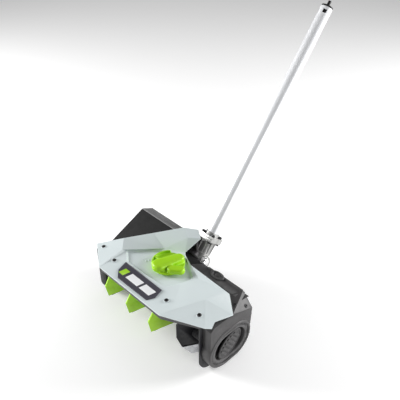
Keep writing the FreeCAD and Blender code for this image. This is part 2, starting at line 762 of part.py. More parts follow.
def gearbox():
    neck = on_pole(cylinder("neck", "neck_radius", "flange_at"), "0")
    flange = on_pole(box("neck_flange", ("2 * flange_half", "2 * flange_half", "flange"), (0, 0, 0)),
                     "flange_at", "-flange_half", "-flange_half")
    case = cylinder("cross_tube", "cross_case", "45", ("-28", "gear_y", "gear_z"), "X")
    foot = box("mount_foot", ("54", "6", "44"), ("-27", WALL_BACK, "gear_z - 22"))
    web = box("mount_web", ("34", "gear_y + 2.5", "26"), ("-17", WALL_BACK, "gear_z - 13"))
    cavities = [
        cylinder("gear_room", "cross_case - 2.6", "28", ("-18", "gear_y", "gear_z"), "X"),
        cylinder("left_seat", "bearing_radius", "12", ("-29", "gear_y", "gear_z"), "X"),
        cylinder("right_seat", "bearing_radius", "12", ("8", "gear_y", "gear_z"), "X"),
        on_pole(cylinder("pinion_room", "neck_radius - 3", "34"), "0"),
        on_pole(cylinder("pinion_seat", "bearing_radius", "16"), "30"),
        on_pole(cylinder("pole_socket", "pole_radius", "30"), "pole_start"),
        *[cylinder(f"foot_hole_{i}", "2.7", "12", (x, f"{WALL_BACK} - 1", z), "Y")
          for i, (x, z) in enumerate(MOUNT_BOLTS)],
        *[on_pole(cylinder(f"neck_flange_hole_{i}", "2.6", "flange + 2"), "flange_at - 1", x, y)
          for i, (x, y) in enumerate(FLANGE_BOLTS)],
    ]
    return cut("gearbox_casting", fuse("gearbox_blank", neck, flange, case, foot, web), *cavities)


FLANGE_BOLTS = [(x, y) for x in ("-bolt_x", "bolt_x") for y in ("-bolt_y", "bolt_y")]
CLAMP_AT = "(flange_at + flange)"


def pole_clamp():
    """The second flange, bolted on the casting, which holds the pole."""
    block = on_pole(box("clamp_block", ("2 * flange_half", "2 * flange_half", "flange"), (0, 0, 0)),
                    CLAMP_AT, "-flange_half", "-flange_half")
    collar = on_pole(cylinder("clamp_collar", "pole_radius + 2.2", "flange + 8"), CLAMP_AT)
    bore = on_pole(cylinder("clamp_bore", "pole_radius", "40"), f"{CLAMP_AT} - 5")
    holes = [on_pole(cylinder(f"clamp_hole_{i}", "2.6", "flange + 2"), f"{CLAMP_AT} - 1", x, y)
             for i, (x, y) in enumerate(FLANGE_BOLTS)]
    return cut("clamp_body", fuse("clamp_blank", block, collar), bore, *holes)


def flange_bolts():
    bolts = []
    for i, (x, y) in enumerate(FLANGE_BOLTS):
        head = on_pole(cylinder(f"flange_bolt_head_{i}", "4.1", "4.5"), f"{CLAMP_AT} + flange", x, y)
        stem = on_pole(cylinder(f"flange_bolt_stem_{i}", "2.6", "2 * flange + 1"), "flange_at - 1", x, y)
        nut = on_pole(cylinder(f"flange_bolt_nut_{i}", "4.1", "3.5"), "flange_at - 3.5", x, y)
        bolts.append(fuse(f"flange_bolt_{i}", head, stem, nut))
    return fuse("flange_bolt_set", *bolts)


def pole_tube():
    outer = on_pole(cylinder("pole_outside", "pole_radius", "pole_length"), "pole_start")
    inner = on_pole(cylinder("pole_inside", "pole_radius - pole_wall", "pole_length + 2"),
                    "pole_start - 1")
    square = [("-hole / 2", "0"), ("hole / 2", "0"), ("hole / 2", "pole_radius + 5"),
              ("-hole / 2", "pole_radius + 5")]
    locating_hole = on_pole(prism("locating_hole", "XY", square, "0", "hole"), f"{POLE_END} - hole_drop")
    facing = pole_rotation().multiply(FreeCAD.Rotation(Vector(0, 0, 1), size("hole_turn")))
    locating_hole.setExpression("Placement.Rotation.Angle", None)
    locating_hole.Placement = FreeCAD.Placement(Vector(), facing)
    groove = on_pole(ring("depth_groove", "pole_radius + 1", "pole_radius - groove", "1"),
                     f"{POLE_END} - coupling - 1")
    return cut("pole_body", outer, inner, locating_hole, groove)


def drive_shaft():
    return on_pole(cylinder("drive_rod", "drive_radius", "pole_length + pole_start - 34"), "12")


def shaft_bushes():
    bushes = []
    for i, share in enumerate((0.2, 0.5, 0.8)):
        bush = ring(f"bush_{i}", "pole_radius - pole_wall", "drive_radius + running", "14")
        bushes.append(on_pole(bush, f"pole_start + pole_length * {share}"))
    return fuse("bush_set", *bushes)


POLE_END = "(pole_start + pole_length)"


def end_cap():
    plug = on_pole(cylinder("cap_plug", "pole_radius - pole_wall - gap", "13"), f"{POLE_END} - 13")
    disc = on_pole(cylinder("cap_disc", "pole_radius - groove", "4"), POLE_END)
    stem = on_pole(cylinder("cap_stem", "3.4", "12"), f"{POLE_END} + 4")
    return fuse("cap_body", plug, disc, stem)


# ---------------------------------------------------------------- direction control

KNOB_GRIP = [
    ("-knob_radius + 1", "-20"), ("-22", "-knob_radius + 4"), ("-8", "-knob_radius + 2"), ("2", "-30"),
    ("16", "-knob_radius + 1"), ("28", "-26"), ("29", "-17"), ("4", "-15"), ("knob_radius - 3", "-6"),
    ("knob_radius - 1", "4"), ("24", "17"), ("0", "17"), ("-20", "5"), ("-knob_radius + 1", "-6"),
]


def knob():
    """A round base with a grip on it, forked by a slot on one side."""
    base = cylinder("knob_base", "knob_radius", "9")
    grip = prism("knob_grip", "XY", KNOB_GRIP, "9", "knob_height - 9.5")
    socket = cylinder("knob_socket", "spindle", "16", (0, 0, -1))
    body = cut("knob_body", fuse("knob_blank", base, grip), socket)
    return turn(body, (0, 0, 1), "45", ("0", "knob_y", f"{COVER_TOP} + 0.5"))


def spindle_and_crank():
    rod = cylinder("spindle_rod", "spindle", f"{COVER_TOP} + 15.5 - vane_low", ("0", "knob_y", "vane_low"))
    arm = box("crank_arm", ("8", "crank", "vane_thick"), ("-4", "knob_y - crank", "vane_low"))
    hub = cylinder("crank_hub", "7", "vane_thick", ("0", "knob_y", "vane_low"))
    eye = cylinder("crank_eye", "5", "vane_thick", ("0", "knob_y - crank", "vane_low"))
    hole = cylinder("crank_pin_hole", "2 + running", "20", ("0", "knob_y - crank", "vane_low - 5"))
    return cut("crank_body", fuse("crank_blank", rod, arm, hub, eye), hole)


def spindle_bush():
    return ring("bush_body", "spindle * 2", "spindle + running", "deck + cover",
                ("0", "knob_y", "deck_low"))


def link_bar():
    bar = box("link_strip", ("2 * vane_x + 12", "8", "link"),
              ("-vane_x - 6", "knob_y - crank - 4", LINK_LOW))
    pins = [cylinder(f"link_pin_{i}", "2", f"{LINK_LOW} - vane_low", (x, "knob_y - crank", "vane_low"))
            for i, x in enumerate(("-vane_x", "0", "vane_x"))]
    return fuse("link_body", bar, *pins)


def vane(name, x):
    arm = box(name + "_arm", ("8", "vane_front - vane_length + 2", "vane_thick"),
              (f"({x}) - 4", "knob_y - vane_front + vane_length - 2", "vane_low"))
    fin = box(name + "_fin", ("3", "vane_length", f"{VANE_TOP} - vane_deep"),
              (f"({x}) - 1.5", "knob_y - vane_front", "vane_deep"))
    eye = cylinder(name + "_eye", "7", "vane_thick", (x, "knob_y", "vane_low"))
    pin_hole = cylinder(name + "_pin_hole", "3 + running", "20", (x, "knob_y", "vane_low - 5"))
    link_hole = cylinder(name + "_link_hole", "2 + gap", "20", (x, "knob_y - crank", "vane_low - 5"))
    return cut(name + "_body", fuse(name + "_blank", arm, fin, eye), pin_hole, link_hole)


def vane_pins():
    pins = []
    for i, x in enumerate(("-vane_x", "vane_x")):
        stem = cylinder(f"vane_pin_stem_{i}", "3", f"{DECK_TOP} - vane_low + 1.6",
                        (x, "knob_y", "vane_low - 1.6"))
        head = cylinder(f"vane_pin_head_{i}", "5.5", "1.3", (x, "knob_y", "vane_low - 1.6"))
        spacer = cylinder(f"vane_pin_spacer_{i}", "5.5", f"deck_low - {VANE_TOP} - gap",
                          (x, "knob_y", f"{VANE_TOP} + gap"))
        pins.append(fuse(f"vane_pin_{i}", stem, head, spacer))
    return fuse("vane_pin_set", *pins)


# ---------------------------------------------------------------- the pieces

node("housing", housing())
node("top_cover", top_cover())
node("left_end_plate", left_end_plate())
node("left_belt_cover", left_belt_cover())
node("right_end_plate", right_end_plate())
node("right_side_cover", side_cover())
node("scraper_blade", scraper())
node("scraper_bolts", scraper_bolts())
node("badge_plate", badge())
node("cover_screws", cover_screws())
node("side_cover_screws", side_screws())

node("auger_shaft", auger_shaft())
node("auger_hub", auger_hub())
for number, share in enumerate(STATIONS + BACK_STATIONS, start=1):
    back = share in BACK_STATIONS
    node(f"paddle_{number}",
         blade(f"paddle_{number}", PADDLE_OUTLINE, "-paddle / 2", "paddle", share, back))
    node(f"paddle_strip_{number}",
         blade(f"strip_{number}", STRIP_OUTLINE, "-paddle / 2 - strip", "strip", share, back))
for name, share, back in (("end_paddle", 0.878, False), ("rear_end_paddle", 0.787, True)):
    node(name, blade(name, END_OUTLINE, "-paddle / 2", "paddle", share, back))
    node(name + "_tip", blade(name + "_tip", TIP_OUTLINE, "paddle / 2", "tip", share, back))
node("auger_bearing_left", bearing("auger_bearing_l", "journal + running",
                                   (f"{CHAMBER_LEFT} - plate", "auger_y", "auger_z")))
node("auger_bearing_right", bearing("auger_bearing_r", "journal + running",
                                    ("half_width - 1", "auger_y", "auger_z")))
node("bearing_carrier", bearing_carrier())
node("carrier_bolts", carrier_bolts())
node("auger_shaft_nut", ring("auger_nut", "9", "journal", "3",
                             ("half_width + 6.5", "auger_y", "auger_z"), "X"))

node("auger_belt_pulley", pulley("auger_wheel", "auger_pulley", "journal", "auger_y", "auger_z"))
node("drive_belt_pulley", pulley("drive_wheel", "drive_pulley", "cross_radius", "gear_y", "gear_z"))
node("drive_belt", drive_belt())
node("cross_shaft", cylinder("cross_rod", "cross_radius", f"16 - ({PULLEY_X} - 1)",
                             (f"{PULLEY_X} - 1", "gear_y", "gear_z"), "X"))
node("cross_shaft_bearing", bearing("cross_bearing_far", "cross_radius + running",
                                    (f"{CHAMBER_LEFT} - plate", "gear_y", "gear_z")))
node("gearbox_bearing_left", bearing("cross_bearing_left", "cross_radius + running",
                                     ("-26", "gear_y", "gear_z")))
node("gearbox_bearing_right", bearing("cross_bearing_right", "cross_radius + running",
                                      ("9.5", "gear_y", "gear_z")))
node("bevel_gear", bevel_gear())
node("bevel_pinion", bevel_pinion())
node("pinion_bearing", on_pole(ring("pinion_race", "bearing_radius", "drive_radius + running",
                                    "bearing_width"), "31"))
node("gearbox_body", gearbox())
node("gearbox_end_cap", cone("gearbox_cap", "12", "9", "4", ("17", "gear_y", "gear_z"), "X"))
node("gearbox_bolts", mount_bolts())
node("pole_clamp", pole_clamp())
node("flange_bolts", flange_bolts())
node("pole_tube", pole_tube())
node("drive_shaft", drive_shaft())
node("shaft_bushes", shaft_bushes())
node("end_cap", end_cap())

node("direction_knob", knob())
node("knob_spindle", spindle_and_crank())
node("spindle_bush", spindle_bush())
node("link_bar", link_bar())
node("vane_left", vane("vane_l", "-vane_x"))
node("vane_right", vane("vane_r", "vane_x"))
node("vane_pins", vane_pins())

# ---------------------------------------------------------------- checks and files

doc.recompute()
for thing in doc.Objects:
    if "Invalid" in thing.State or "Error" in thing.State:
        raise RuntimeError(f"{thing.Name} failed: {thing.State}")
for piece in nodes:
    if piece.Shape.isNull() or not piece.Shape.isValid():
        raise RuntimeError(f"{piece.Label} has no valid shape")
for piece in nodes:
    piece.Shape.exportStep(f"parts/{piece.Label}.step")
print(len(nodes), "pieces written")
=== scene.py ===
"""Looks of a snow shovel head on a pole: pale cover, dark housing, green auger paddles and knob.

The row frame is in metres: origin on the ground under the scraper, +X towards the round side
cover, +Y back towards the pole, +Z up. Helper functions take millimetres.
"""

import math

import bmesh
import bpy
from bpy.props import FloatProperty, FloatVectorProperty, IntProperty, PointerProperty
from mathutils import Matrix, Vector
from mathutils.bvhtree import BVHTree


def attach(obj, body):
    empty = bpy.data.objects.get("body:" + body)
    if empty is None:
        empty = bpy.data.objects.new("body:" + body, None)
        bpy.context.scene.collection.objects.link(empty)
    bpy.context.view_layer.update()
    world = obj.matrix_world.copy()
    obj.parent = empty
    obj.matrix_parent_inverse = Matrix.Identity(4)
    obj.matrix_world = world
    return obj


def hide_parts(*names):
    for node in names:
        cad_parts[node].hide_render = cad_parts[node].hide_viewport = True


bl_info = {
    "name": "Snow Shovel Head",
    "version": (1, 0, 0),
    "blender": (4, 5, 0),
    "location": "View3D > Sidebar > Shovel",
    "description": "Builds the visible pieces and finishes of a snow shovel head",
    "category": "Add Mesh",
}

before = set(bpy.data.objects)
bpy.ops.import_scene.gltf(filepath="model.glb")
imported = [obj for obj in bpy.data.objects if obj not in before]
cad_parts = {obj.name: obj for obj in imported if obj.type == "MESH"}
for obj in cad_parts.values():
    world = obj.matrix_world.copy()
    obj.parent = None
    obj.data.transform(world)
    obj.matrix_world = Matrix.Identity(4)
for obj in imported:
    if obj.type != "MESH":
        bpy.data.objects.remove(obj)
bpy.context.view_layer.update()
MM = 0.001
POLE_LEAN = math.radians(38.4)
GEARS = Vector((0, 28.2, 98))
KNOB_AXIS = Vector((0, -57.5, 0))
KNOB_TURN = math.radians(45.9)
# Profile of the roof: its foot, its ridge and the back of the ribbed strip, as (y, z).
ROOF_LEFT, ROOF_RIGHT = -160.6, -28.6
ROOF_FOOT, ROOF_RIDGE, STRIP_BACK = (-80.5, 124), (5.6, 165), (35.0, 151.4)


# ---------------------------------------------------------------- sizes and colours

class ShovelSizes(bpy.types.PropertyGroup):
    """Sizes that a maker would change."""

    cover_thickness: FloatProperty(
        name="Cover Thickness", description="Wall of the pale cover",
        default=0.0019, min=0.001, max=0.004, unit="LENGTH")
    cover_rounding: FloatProperty(
        name="Cover Rounding", description="Rounding along the cover's creases and edges",
        default=0.0013, min=0.0, max=0.003, unit="LENGTH")
    moulded_rounding: FloatProperty(
        name="Moulded Rounding", description="Rounding on the dark moulded parts",
        default=0.0009, min=0.0, max=0.003, unit="LENGTH")
    knob_voxel: FloatProperty(
        name="Knob Fineness", description="Size of the cells that the knob is blended from",
        default=0.0011, min=0.0005, max=0.003, unit="LENGTH")
    roof_ribs: IntProperty(
        name="Roof Ribs", description="Number of fine ribs on the strip behind the roof",
        default=9, min=2)
    panel_ribs: IntProperty(
        name="Panel Ribs", description="Number of plain ribs on the round cover's oval panel",
        default=6, min=2)


class ShovelColours(bpy.types.PropertyGroup):
    """Colours of the finishes."""

    cover: FloatVectorProperty(
        name="Cover", description="Pale moulded cover", subtype="COLOR",
        default=(0.68, 0.75, 0.76), size=3, min=0, max=1)
    housing: FloatVectorProperty(
        name="Housing", description="Dark moulded housing", subtype="COLOR",
        default=(0.042, 0.040, 0.041), size=3, min=0, max=1)
    roof: FloatVectorProperty(
        name="Roof", description="Near-black belt cover and roof", subtype="COLOR",
        default=(0.011, 0.011, 0.011), size=3, min=0, max=1)
    green: FloatVectorProperty(
        name="Green", description="Knob and paddles", subtype="COLOR",
        default=(0.34, 0.66, 0.008), size=3, min=0, max=1)
    badge: FloatVectorProperty(
        name="Badge", description="Dark plate on the cover", subtype="COLOR",
        default=(0.055, 0.052, 0.068), size=3, min=0, max=1)
    tube: FloatVectorProperty(
        name="Tube", description="Drawn aluminium pole", subtype="COLOR",
        default=(0.80, 0.81, 0.83), size=3, min=0, max=1)


# ---------------------------------------------------------------- finishes

class Finish:
    """A material whose nodes are added one by one."""

    def __init__(self, name, colour, roughness, metallic=0.0):
        self.material = bpy.data.materials.new(name)
        self.material.use_nodes = True
        self.nodes = self.material.node_tree.nodes
        self.links = self.material.node_tree.links
        self.shader = self.nodes["Principled BSDF"]
        self.colour = (*colour[:3], 1.0)
        self.shader.inputs["Base Color"].default_value = self.colour
        self.shader.inputs["Roughness"].default_value = roughness
        self.shader.inputs["Metallic"].default_value = metallic
        self.place = self.nodes.new("ShaderNodeTexCoord").outputs["Object"]
        self.height = None

    def stretched(self, scale):
        mapping = self.nodes.new("ShaderNodeMapping")
        mapping.inputs["Scale"].default_value = scale
        self.links.new(self.place, mapping.inputs["Vector"])
        return mapping.outputs["Vector"]

    def noise(self, scale, detail=4.0, rough=0.55, vector=None):
        node = self.nodes.new("ShaderNodeTexNoise")
        node.inputs["Scale"].default_value = scale
        node.inputs["Detail"].default_value = detail
        node.inputs["Roughness"].default_value = rough
        self.links.new(vector or self.place, node.inputs["Vector"])
        return node.outputs["Fac"]

    def ramp(self, value, stops):
        node = self.nodes.new("ShaderNodeValToRGB")
        ramp = node.color_ramp
        while len(ramp.elements) < len(stops):
            ramp.elements.new(0.5)
        for element, (at, colour) in zip(ramp.elements, stops):
            element.position = at
            element.color = (*colour[:3], 1.0)
        self.links.new(value, node.inputs["Fac"])
        return node.outputs["Color"]

    def current(self, socket_name):
        socket = self.shader.inputs[socket_name]
        return socket.links[0].from_socket if socket.links else None

    def mix_colour(self, amount, colour):
        """Lays a colour over the base colour by the amount given."""
        node = self.nodes.new("ShaderNodeMix")
        node.data_type = "RGBA"
        below = self.current("Base Color")
        if below:
            self.links.new(below, node.inputs["A"])
        else:
            node.inputs["A"].default_value = self.colour
        node.inputs["B"].default_value = (*colour[:3], 1.0)
        self.links.new(amount, node.inputs["Factor"])
        self.links.new(node.outputs["Result"], self.shader.inputs["Base Color"])

    def mottled(self, scale, spread):
        """Slow colour variation, lighter and darker by the share given."""
        dark = [c * (1 - spread) for c in self.colour[:3]]
        light = [min(1.0, c * (1 + spread)) for c in self.colour[:3]]
        shade = self.ramp(self.noise(scale), [(0.3, dark), (0.7, light)])
        self.links.new(shade, self.shader.inputs["Base Color"])
        return self

    def lightened_edges(self, colour, strength=0.5, start=0.53):
        """Lightens the sharpest convex edges, broken up by noise."""
        point = self.nodes.new("ShaderNodeNewGeometry").outputs["Pointiness"]
        edge = self.ramp(point, [(start, (0, 0, 0)), (start + 0.06, (strength,) * 3)])
        patch = self.nodes.new("ShaderNodeMath")
        patch.operation = "MULTIPLY"
        self.links.new(edge, patch.inputs[0])
        self.links.new(self.noise(90, 3), patch.inputs[1])
        self.mix_colour(patch.outputs["Value"], colour)
        return self

    def dusty(self, colour, amount=0.2, scale=40):
        """Faint smudges of dust."""
        smudge = self.ramp(self.noise(scale, 6, 0.65), [(0.52, (0, 0, 0)), (0.75, (amount,) * 3)])
        self.mix_colour(smudge, colour)
        return self

    def dull(self, level):
        """Weakens the mirror-like part of the shine."""
        self.shader.inputs["Specular IOR Level"].default_value = level
        return self

    def uneven_gloss(self, low, high, scale=60, vector=None):
        node = self.nodes.new("ShaderNodeMapRange")
        node.inputs["To Min"].default_value = low
        node.inputs["To Max"].default_value = high
        self.links.new(self.noise(scale, 5, vector=vector), node.inputs["Value"])
        self.links.new(node.outputs["Result"], self.shader.inputs["Roughness"])
        return self

    def bump(self, value, strength, distance):
        node = self.nodes.new("ShaderNodeBump")
        node.inputs["Strength"].default_value = strength
        node.inputs["Distance"].default_value = distance
        self.links.new(value, node.inputs["Height"])
        below = self.current("Normal")
        if below:
            self.links.new(below, node.inputs["Normal"])
        self.links.new(node.outputs["Normal"], self.shader.inputs["Normal"])
        return self

    def coat(self, weight, roughness):
        self.shader.inputs["Coat Weight"].default_value = weight
        self.shader.inputs["Coat Roughness"].default_value = roughness
        return self


def make_finishes(colours):
    """Every finish of the shovel, by name."""
    made = {}

    pale = Finish("pale_moulding", colours.cover, 0.42).mottled(14, 0.018)
    pale.lightened_edges((0.93, 0.97, 0.97), 0.55)
    pale.uneven_gloss(0.36, 0.5, 35).bump(pale.noise(1500, 2), 0.12, 0.0002)
    made["pale"] = pale

    housing = Finish("housing_moulding", colours.housing, 0.45).mottled(20, 0.10)
    housing.lightened_edges((0.20, 0.20, 0.20), 0.6).dusty((0.16, 0.16, 0.16), 0.14)
    housing.dull(0.4).uneven_gloss(0.38, 0.55).bump(housing.noise(1100, 3), 0.28, 0.0003)
    made["housing"] = housing

    roof = Finish("roof_moulding", colours.roof, 0.5).mottled(24, 0.12)
    roof.lightened_edges((0.12, 0.12, 0.12), 0.5).dusty((0.05, 0.05, 0.05), 0.1)
    roof.dull(0.22).uneven_gloss(0.42, 0.6).bump(roof.noise(1100, 3), 0.25, 0.0003)
    made["roof"] = roof

    # Painted light: the strip's mid grey stands in for light falling on its top from above, beside the
    # near-black roof.
    strip = Finish("ribbed_strip_painted_light", (0.215, 0.215, 0.215), 0.5).mottled(26, 0.08)
    strip.lightened_edges((0.4, 0.4, 0.4), 0.5).uneven_gloss(0.42, 0.58).bump(strip.noise(900, 3), 0.3, 0.0003)
    made["strip"] = strip

    green = Finish("knob_moulding", colours.green, 0.4).mottled(30, 0.05)
    green.lightened_edges((0.55, 0.80, 0.18), 0.6).uneven_gloss(0.32, 0.46)
    green.bump(green.noise(1300, 2), 0.15, 0.0002)
    made["knob"] = green

    paddle = Finish("paddle_moulding", colours.green, 0.5).mottled(22, 0.08)
    paddle.lightened_edges((0.60, 0.78, 0.20), 0.6).dusty((0.40, 0.62, 0.08), 0.15, 55)
    paddle.dull(0.3).uneven_gloss(0.42, 0.6).bump(paddle.noise(700, 4), 0.3, 0.0004)
    made["paddle"] = paddle

    rubber = Finish("edge_rubber", (0.018, 0.018, 0.02), 0.7).mottled(40, 0.2)
    rubber.dusty((0.09, 0.09, 0.09), 0.25, 60).bump(rubber.noise(500, 5), 0.4, 0.0005)
    made["rubber"] = rubber

    black = Finish("end_paddle_moulding", (0.006, 0.006, 0.009), 0.25).mottled(30, 0.2)
    black.dull(0.12).lightened_edges((0.2, 0.2, 0.2), 0.5).uneven_gloss(0.24, 0.4)
    black.bump(black.noise(600, 3), 0.2, 0.0003)
    made["end_paddle"] = black

    badge = Finish("badge_face", colours.badge, 0.35).mottled(45, 0.08).coat(0.3, 0.25)
    badge.uneven_gloss(0.3, 0.42).bump(badge.noise(1400, 2), 0.1, 0.0002)
    made["badge"] = badge

    bar = Finish("badge_bar", (0.86, 0.87, 0.88), 0.35).mottled(60, 0.03)
    bar.bump(bar.noise(1400, 2), 0.08, 0.0002)
    made["bar"] = bar

    drawn = Finish("drawn_tube", colours.tube, 0.32, 0.2).mottled(9, 0.03)
    lines = drawn.stretched((60, 1.2, 1.2))
    drawn.uneven_gloss(0.26, 0.4, 30, lines).bump(drawn.noise(26, 3, vector=lines), 0.10, 0.0003)
    made["tube"] = drawn

    cast = Finish("cast_casing", (0.40, 0.40, 0.39), 0.42, 0.6).mottled(45, 0.12)
    cast.lightened_edges((0.8, 0.8, 0.78), 0.7).dusty((0.25, 0.25, 0.24), 0.5, 75)
    cast.uneven_gloss(0.3, 0.5, 120).bump(cast.noise(420, 4), 0.35, 0.0005)
    made["cast"] = cast

    bright = Finish("polished_cap", (0.86, 0.86, 0.86), 0.16, 1.0).mottled(60, 0.05)
    bright.uneven_gloss(0.1, 0.24, 90).bump(bright.noise(300, 3), 0.08, 0.0003)
    made["bright"] = bright

    steel = Finish("turned_steel", (0.55, 0.55, 0.56), 0.3, 1.0).mottled(50, 0.08)
    turning = steel.stretched((400, 6, 6))
    steel.uneven_gloss(0.22, 0.4, 12, turning).bump(steel.noise(10, 2, vector=turning), 0.12, 0.0002)
    made["steel"] = steel

    band = Finish("worn_band", (0.66, 0.67, 0.69), 0.28, 1.0).mottled(70, 0.15)
    band.dusty((0.3, 0.3, 0.31), 0.5, 110).uneven_gloss(0.2, 0.42, 80).bump(band.noise(260, 5), 0.3, 0.0004)
    made["band"] = band

    oxide = Finish("black_oxide", (0.02, 0.02, 0.021), 0.4, 0.6).mottled(60, 0.2)
    oxide.lightened_edges((0.25, 0.25, 0.26), 0.6).uneven_gloss(0.3, 0.48, 90)
    oxide.bump(oxide.noise(800, 3), 0.2, 0.0002)
    made["oxide"] = oxide
    return made


FINISHES = {}


# ---------------------------------------------------------------- mesh helpers

def smooth_piece(obj, rounding=0.0, segments=3, angle=24):
    """Rounds the creases of a piece and shades it."""
    for polygon in obj.data.polygons:
        polygon.use_smooth = True
    if rounding:
        bevel = obj.modifiers.new("Rounding", "BEVEL")
        bevel.width = rounding
        bevel.segments = segments
        bevel.limit_method = "ANGLE"
        bevel.angle_limit = math.radians(angle)
        bevel.harden_normals = True
    return obj


def make_piece(name, corners, faces, finish, rounding=0.0, body="root", replaces=(), segments=3):
    """A new piece from corners in millimetres, riding on a body."""
    mesh = bpy.data.meshes.new(name)
    mesh.from_pydata([Vector(c) * MM for c in corners], [], faces)
    shape = bmesh.new()
    shape.from_mesh(mesh)
    bmesh.ops.remove_doubles(shape, verts=shape.verts, dist=1e-6)
    bmesh.ops.recalc_face_normals(shape, faces=shape.faces)
    shape.to_mesh(mesh)
    shape.free()
    mesh.materials.append(FINISHES[finish].material)
    obj = bpy.data.objects.new(name, mesh)
    bpy.context.scene.collection.objects.link(obj)
    smooth_piece(obj, rounding, segments)
    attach(obj, body)
    if replaces:
        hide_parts(*replaces)
    return obj


def loft(rings, close_start=True, close_end=True):
    """Corners and faces of a skin over rings that all have the same number of corners."""
    count = len(rings[0])
    corners = [corner for ring in rings for corner in ring]
    faces = []
    for level in range(len(rings) - 1):
        for i in range(count):
            j = (i + 1) % count
            a, b = level * count, (level + 1) * count
            faces.append([a + i, a + j, b + j, b + i])
    if close_start:
        faces.append(list(range(count)))
    if close_end:
        last = (len(rings) - 1) * count
        faces.append([last + i for i in range(count)])
    return corners, faces


def slab(outline, axis, low, high):
    """A flat piece: an outline in the plane across an axis, between two places along that axis."""
    order = {"X": (2, 0, 1), "Y": (0, 2, 1), "Z": (0, 1, 2)}[axis]
    return loft([[Vector([(*point, place)[i] for i in order]) for point in outline] for place in (low, high)])


def joined(*shapes):
    """Several (corners, faces) pairs as one."""
    corners, faces = [], []
    for some_corners, some_faces in shapes:
        start = len(corners)
        corners += list(some_corners)
        faces += [[start + i for i in face] for face in some_faces]
    return corners, faces


def moved(shape, matrix):
    return [matrix @ Vector(c) for c in shape[0]], shape[1]


def circle(radius, height, count=32):
    return [Vector((radius * math.cos(a), radius * math.sin(a), height))
            for a in (2 * math.pi * i / count for i in range(count))]


def hexagon(radius, height, count=24):
    """A hexagon with the same number of corners as a circle, so that the two can be lofted."""
    points = []
    for i in range(count):
        a = 2 * math.pi * i / count
        inside = math.fmod(a, math.pi / 3) - math.pi / 6
        reach = radius * math.cos(math.pi / 6) / math.cos(inside)
        points.append(Vector((reach * math.cos(a), reach * math.sin(a), height)))
    return points


def socket_head(radius, height, socket):
    """A cap screw's head with rounded rim and hexagon socket, standing on the origin."""
    profile = [(radius, 0), (radius, height - 0.7), (radius - 0.25, height - 0.25), (radius - 0.8, height),
               (socket + 0.5, height)]
    rings = [circle(r, z, 24) for r, z in profile]
    rings += [hexagon(socket, height - 0.35), hexagon(socket, height * 0.45),
              hexagon(socket * 0.35, height * 0.36)]
    return loft(rings)


def facing(direction, at):
    """Turns +Z to the direction given and moves to the point given."""
    return Matrix.Translation(at) @ Vector(direction).to_track_quat("Z", "Y").to_matrix().to_4x4()


def along_pole(distance, x=0.0, y=0.0):
    """A place on the pole: the distance up its axis, and x and y across it."""
    turn = Matrix.Rotation(-POLE_LEAN, 4, "X")
    return Matrix.Translation(GEARS) @ turn @ Matrix.Translation((x, y, distance))


def stadium(radius, x, low=-74.5, high=-52.5, middle=55.0, count=28):
    """A ring of points in the plane of the round side cover."""
    points = []
    for i in range(count):
        a = 2 * math.pi * i / count
        centre = high if math.cos(a) >= 0 else low
        points.append(Vector((x, centre + radius * math.cos(a), middle + radius * math.sin(a))))
    return points


# ---------------------------------------------------------------- pale cover

COVER = {
    "P1": (-160, -122.5, 137.4), "P2": (-95, -163.5, 137.6), "P3": (92, -163, 138.8),
    "P4": (174, -124.5, 138.4), "P5": (183, -115.5, 138.0), "P5b": (175.5, -100.5, 138.2),
    "P6": (187, -63.5, 138.0), "P7": (146, -30.5, 140.0), "P8": (20, -27.5, 141.5),
    "foot_left": (-97, -101.5, 146.0), "foot_mid": (-40, -33.5, 144.0), "foot_right": (0, -11.5, 144.0),
    "crest_low": (-119, -80, 152.4), "crest_mid": (-75, -34, 165.9),
    "peak_left": (-30, 13.5, 180.0), "peak_right": (-3, 30.5, 180.0), "peak_edge": (13, 21.5, 170.0),
    "peak_inner": (-8, 4.5, 170.5),
    "rim_1": (-93, -94, 142.0), "rim_2": (-67, -114, 142.0), "rim_3": (30, -111, 142.0),
    "rim_4": (50, -104, 142.0), "rim_5": (61, -79, 142.3), "rim_6": (68, -52, 142.6),
    "rim_7": (6, -16.8, 142.8), "rim_8": (-47, -40.5, 142.0),
    "step_back": (79, -48, 146.2), "step_front": (101, -141, 142.0),
    "facet_back": (135.6, -35.6, 145.2), "facet_inner": (130.5, -79.5, 148.6),
}
POCKET_FLOOR, POCKET_SLOPE = 138.3, 4.5
ABOVE_ALL = 400
COVER_FACES = [
    ("P1", "P2", "foot_left"), ("P1", "foot_left", "crest_low"),
    ("P2", "rim_2", "rim_1", "foot_left"), ("P2", "P3", "rim_3", "rim_2"),
    ("P3", "step_front", "rim_4", "rim_3"), ("rim_4", "step_front", "rim_5"),
    ("rim_5", "step_front", "step_back", "rim_6"), ("P3", "P4", "facet_inner", "step_front"),
    ("step_front", "facet_inner", "facet_back", "step_back"),
    ("facet_inner", "P4", "P5", "P5b"), ("facet_inner", "P5b", "P6"),
    ("facet_inner", "P6", "P7", "facet_back"), ("step_back", "facet_back", "P7", "P8"),
    ("rim_6", "step_back", "P8", "rim_7"), ("rim_7", "P8", "foot_right"),
    ("foot_left", "rim_1", "rim_8", "foot_mid"), ("foot_mid", "rim_8", "rim_7", "foot_right"),
    ("crest_low", "foot_left", "foot_mid", "crest_mid"),
    ("crest_mid", "foot_mid", "peak_inner", "peak_left"),
    ("foot_mid", "foot_right", "peak_inner"), ("foot_right", "peak_edge", "peak_inner"),
    ("peak_inner", "peak_edge", "peak_right"), ("peak_inner", "peak_right", "peak_left"),
]
COVER_SCREWS = [(-139, -119.5), (-86, -131), (76, -130), (147, -112)]


